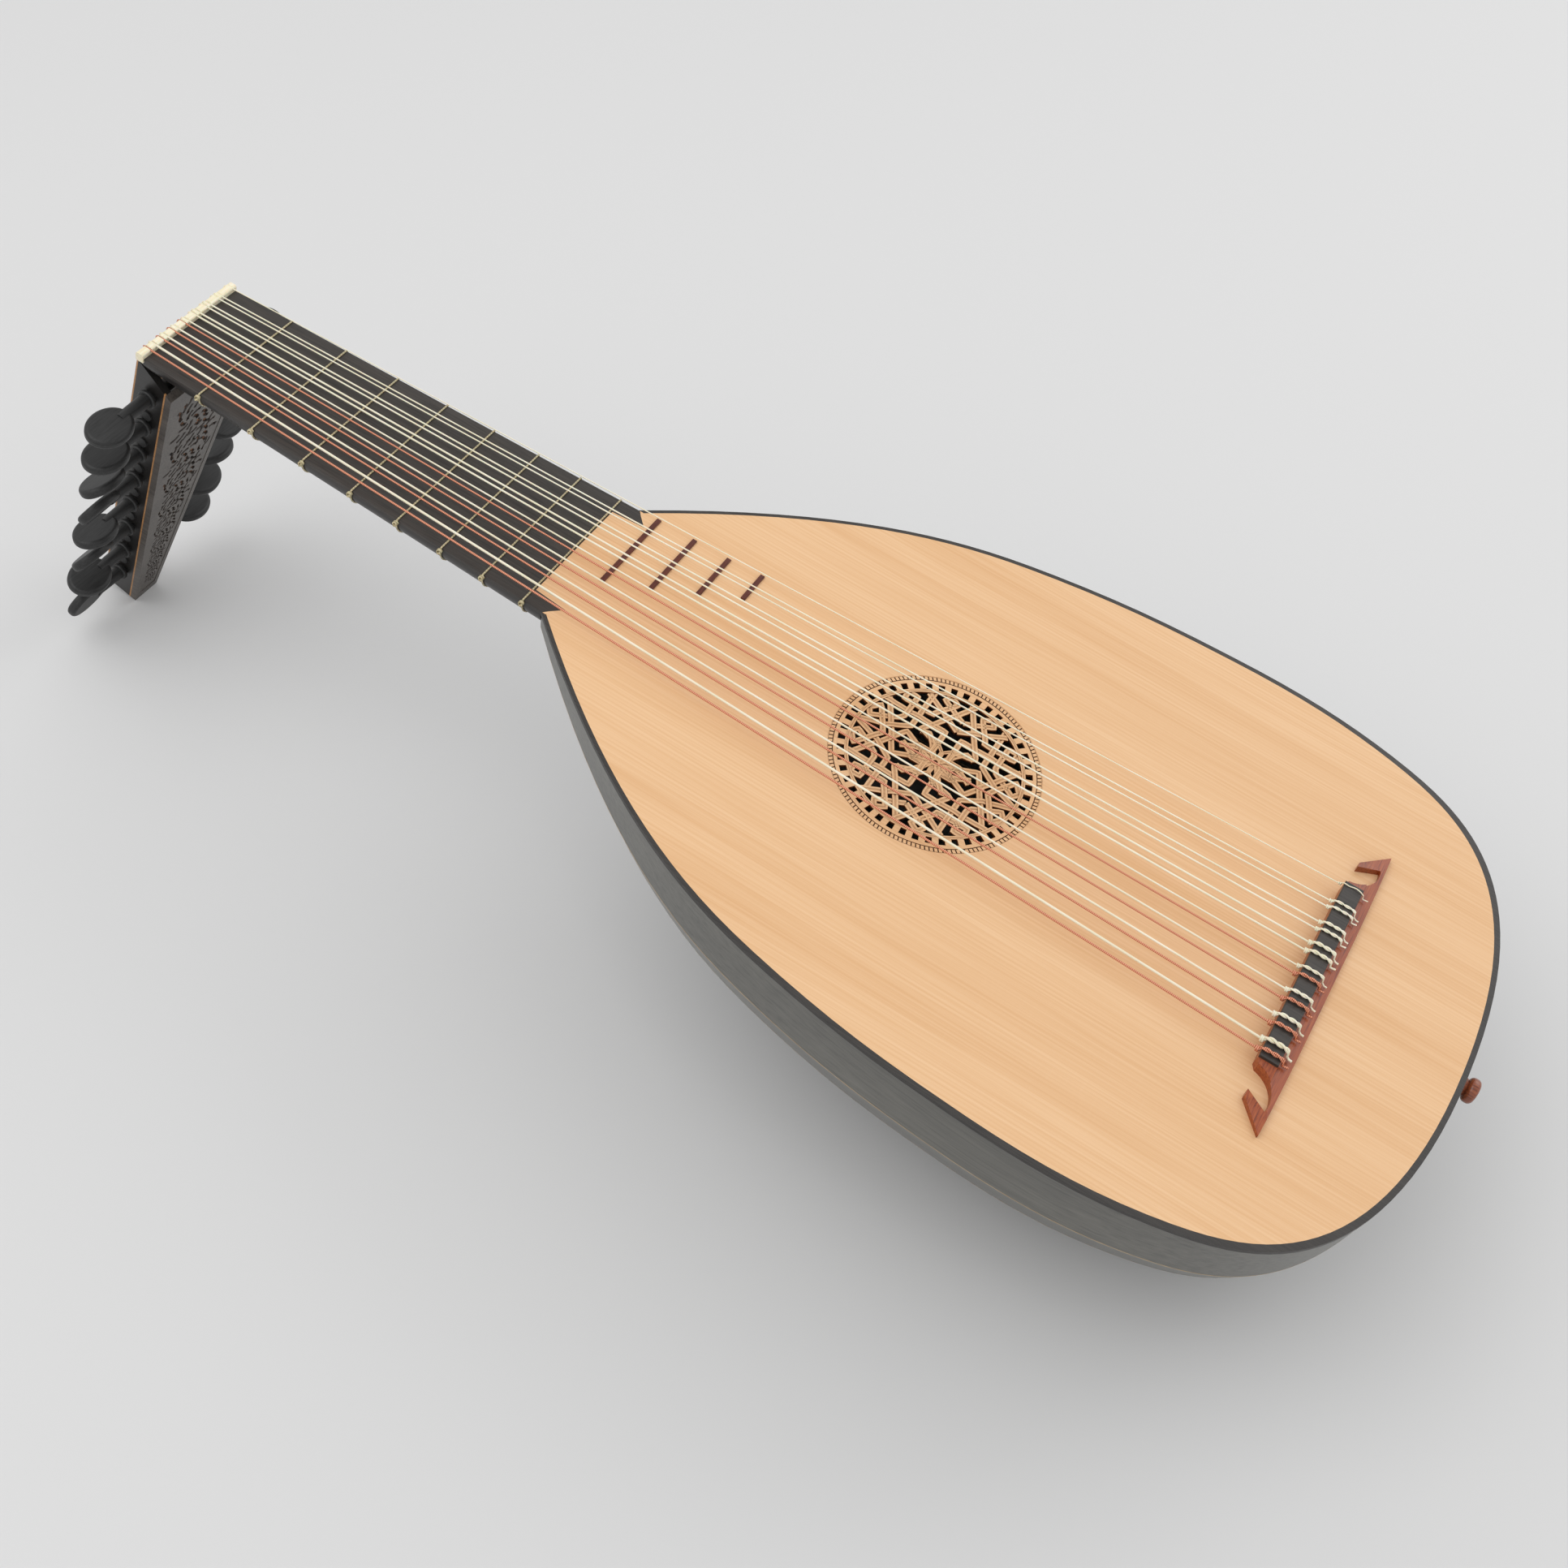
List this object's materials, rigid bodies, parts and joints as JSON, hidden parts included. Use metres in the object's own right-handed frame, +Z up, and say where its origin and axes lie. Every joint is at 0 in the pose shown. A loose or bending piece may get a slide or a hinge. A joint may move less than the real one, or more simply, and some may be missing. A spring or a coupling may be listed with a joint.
{
  "type": "lute",
  "caption": "Round-backed plucked string instrument: ribbed bowl, flat spruce top with carved rose, fretted neck, bent-back pegbox with turning pegs, strings in pairs to a glued bridge.",
  "frame": {"origin": "on the surface that the lute lies on, under the middle of its box", "axes": "+X from the pegbox towards the tail, +Y to the treble side, +Z up, out of the soundboard; the lute lies on its back, so the soundboard is 7.83 degrees off level, nut end high"},
  "size_m": [0.7746, 0.3074, 0.2203],
  "materials": {
    "spruce": "satin",
    "black_edging": "satin",
    "rib_wood": "satin",
    "spacer_wood": "satin",
    "inside_wood": "matte",
    "neck_wood": "satin",
    "black_wood": "matte",
    "bone": "polished",
    "gut": "satin",
    "red_wood": "satin",
    "pegbox_wood": "satin",
    "carved_wood": "satin",
    "stringing_wood": "satin",
    "button_wood": "polished",
    "plain_string": "smooth",
    "wound_string": "wound",
    "peg_wood": "matte"
  },
  "bodies": {
    "lute": {"body_frets": "red_wood", "bridge": "red_wood", "bridge_cap": "black_wood", "course_1": "plain_string", "course_2": "plain_string", "course_3": "plain_string", "course_4": "plain_string", "course_5": "wound_string", "course_6": "wound_string", "course_7": "wound_string", "course_8": "wound_string", "end_button": "button_wood", "fingerboard": "black_wood", "fingerboard_points": "black_wood", "neck": "neck_wood", "neck_block": "neck_wood", "nut": "bone", "pegbox_back": "carved_wood", "pegbox_cheek_bass": "pegbox_wood", "pegbox_cheek_treble": "pegbox_wood", "pegbox_end_block": "pegbox_wood", "pegbox_stringing": "stringing_wood", "rib_01": "rib_wood", "rib_02": "rib_wood", "rib_03": "rib_wood", "rib_04": "rib_wood", "rib_05": "rib_wood", "rib_06": "rib_wood", "rib_07": "rib_wood", "rib_08": "rib_wood", "rib_09": "rib_wood", "rib_10": "rib_wood", "rib_11": "rib_wood", "rib_spacers": "spacer_wood", "rose": "spruce", "soundboard": "spruce", "soundboard_bars": "inside_wood", "soundboard_edging": "black_edging", "tail_liner": "inside_wood", "tied_frets": "gut"},
    "tuning_peg_01": {"peg_01": "peg_wood"},
    "tuning_peg_02": {"peg_02": "peg_wood"},
    "tuning_peg_03": {"peg_03": "peg_wood"},
    "tuning_peg_04": {"peg_04": "peg_wood"},
    "tuning_peg_05": {"peg_05": "peg_wood"},
    "tuning_peg_06": {"peg_06": "peg_wood"},
    "tuning_peg_07": {"peg_07": "peg_wood"},
    "tuning_peg_08": {"peg_08": "peg_wood"},
    "tuning_peg_09": {"peg_09": "peg_wood"},
    "tuning_peg_10": {"peg_10": "peg_wood"},
    "tuning_peg_11": {"peg_11": "peg_wood"},
    "tuning_peg_12": {"peg_12": "peg_wood"},
    "tuning_peg_13": {"peg_13": "peg_wood"},
    "tuning_peg_14": {"peg_14": "peg_wood"},
    "tuning_peg_15": {"peg_15": "peg_wood"}
  },
  "joints": [
    {"name": "turn_peg_01", "type": "hinge", "parent": "lute", "child": "tuning_peg_01", "pos_m": [-0.30006, -0.03091, 0.19213], "axis": [0, -1, 0], "continuous": true},
    {"name": "turn_peg_02", "type": "hinge", "parent": "lute", "child": "tuning_peg_02", "pos_m": [-0.30987, -0.02811, 0.16837], "axis": [0, -1, 0], "continuous": true},
    {"name": "turn_peg_03", "type": "hinge", "parent": "lute", "child": "tuning_peg_03", "pos_m": [-0.31967, -0.02531, 0.14462], "axis": [0, -1, 0], "continuous": true},
    {"name": "turn_peg_04", "type": "hinge", "parent": "lute", "child": "tuning_peg_04", "pos_m": [-0.32948, -0.02251, 0.12086], "axis": [0, -1, 0], "continuous": true},
    {"name": "turn_peg_05", "type": "hinge", "parent": "lute", "child": "tuning_peg_05", "pos_m": [-0.33929, -0.01971, 0.0971], "axis": [0, -1, 0], "continuous": true},
    {"name": "turn_peg_06", "type": "hinge", "parent": "lute", "child": "tuning_peg_06", "pos_m": [-0.34909, -0.01691, 0.07335], "axis": [0, -1, 0], "continuous": true},
    {"name": "turn_peg_07", "type": "hinge", "parent": "lute", "child": "tuning_peg_07", "pos_m": [-0.3589, -0.01412, 0.04959], "axis": [0, -1, 0], "continuous": true},
    {"name": "turn_peg_08", "type": "hinge", "parent": "lute", "child": "tuning_peg_08", "pos_m": [-0.36871, -0.01132, 0.02584], "axis": [0, -1, 0], "continuous": true},
    {"name": "turn_peg_09", "type": "hinge", "parent": "lute", "child": "tuning_peg_09", "pos_m": [-0.30654, 0.02907, 0.17645], "axis": [0, 1, 0], "continuous": true},
    {"name": "turn_peg_10", "type": "hinge", "parent": "lute", "child": "tuning_peg_10", "pos_m": [-0.31608, 0.02634, 0.15333], "axis": [0, 1, 0], "continuous": true},
    {"name": "turn_peg_11", "type": "hinge", "parent": "lute", "child": "tuning_peg_11", "pos_m": [-0.32562, 0.02362, 0.1302], "axis": [0, 1, 0], "continuous": true},
    {"name": "turn_peg_12", "type": "hinge", "parent": "lute", "child": "tuning_peg_12", "pos_m": [-0.33517, 0.02089, 0.10708], "axis": [0, 1, 0], "continuous": true},
    {"name": "turn_peg_13", "type": "hinge", "parent": "lute", "child": "tuning_peg_13", "pos_m": [-0.34471, 0.01817, 0.08396], "axis": [0, 1, 0], "continuous": true},
    {"name": "turn_peg_14", "type": "hinge", "parent": "lute", "child": "tuning_peg_14", "pos_m": [-0.35426, 0.01544, 0.06084], "axis": [0, 1, 0], "continuous": true},
    {"name": "turn_peg_15", "type": "hinge", "parent": "lute", "child": "tuning_peg_15", "pos_m": [-0.3638, 0.01272, 0.03772], "axis": [0, 1, 0], "continuous": true}
  ]
}
